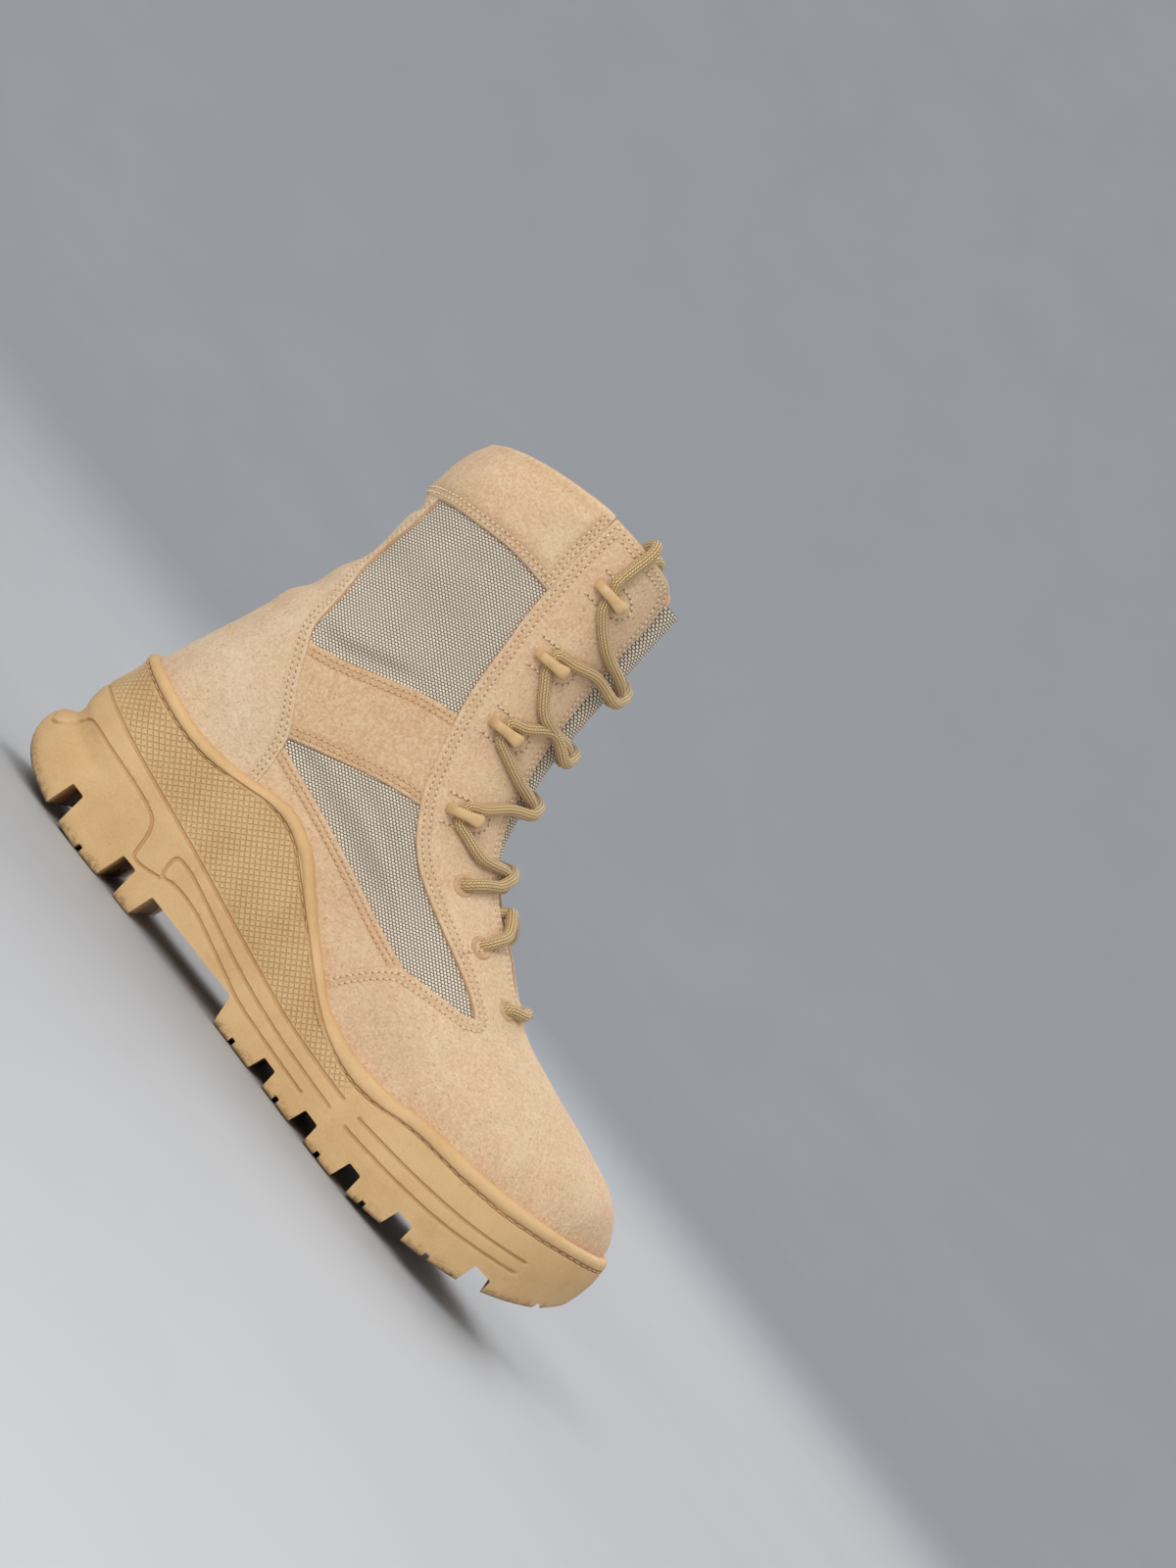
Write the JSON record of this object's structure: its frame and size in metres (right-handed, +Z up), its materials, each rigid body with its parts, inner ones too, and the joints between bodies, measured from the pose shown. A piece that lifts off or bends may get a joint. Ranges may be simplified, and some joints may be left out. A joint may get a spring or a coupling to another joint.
{
  "type": "combat boot",
  "caption": "Lace-up combat boot with a suede and fabric upper, padded collar, moulded lacing loops and a lugged cup sole, standing empty.",
  "frame": {"origin": "on the floor, under the middle of the boot's length and width", "axes": "+X towards the toe, +Z up, -Y on the outer side of the right foot"},
  "size_m": [0.318, 0.119, 0.2562],
  "materials": {
    "sole_rubber": "tan moulded rubber, matt, with a diamond texture and brown grime at the tread",
    "suede": "sand suede with a short nap, uneven pinkish tone and cream double stitching",
    "tongue_cloth": "coarse woven nylon, sand threads over dark gaps",
    "insole_cloth": "brown felted cloth",
    "eyelet": "sand coated ring, matt",
    "lace_loop": "sand moulded plastic, satin",
    "lace": "round braided cord, brown olive"
  },
  "bodies": {
    "root": {"sole": "sole_rubber", "upper": "suede", "insole": "insole_cloth", "tongue": "tongue_cloth", "collar_cuff": "suede", "eyelet_outer_1": "eyelet", "eyelet_outer_2": "eyelet", "eyelet_outer_3": "eyelet", "eyelet_inner_1": "eyelet", "eyelet_inner_2": "eyelet", "eyelet_inner_3": "eyelet", "lace_loop_outer_1": "lace_loop", "lace_loop_outer_2": "lace_loop", "lace_loop_outer_3": "lace_loop", "lace_loop_outer_4": "lace_loop", "lace_loop_inner_1": "lace_loop", "lace_loop_inner_2": "lace_loop", "lace_loop_inner_3": "lace_loop", "lace_loop_inner_4": "lace_loop", "lace_crossing_1": "lace", "lace_crossing_2": "lace", "lace_crossing_3": "lace", "lace_crossing_4": "lace", "lace_crossing_5": "lace", "lace_bar": "lace", "lace_end_outer": "lace", "lace_end_inner": "lace"}
  },
  "joints": []
}
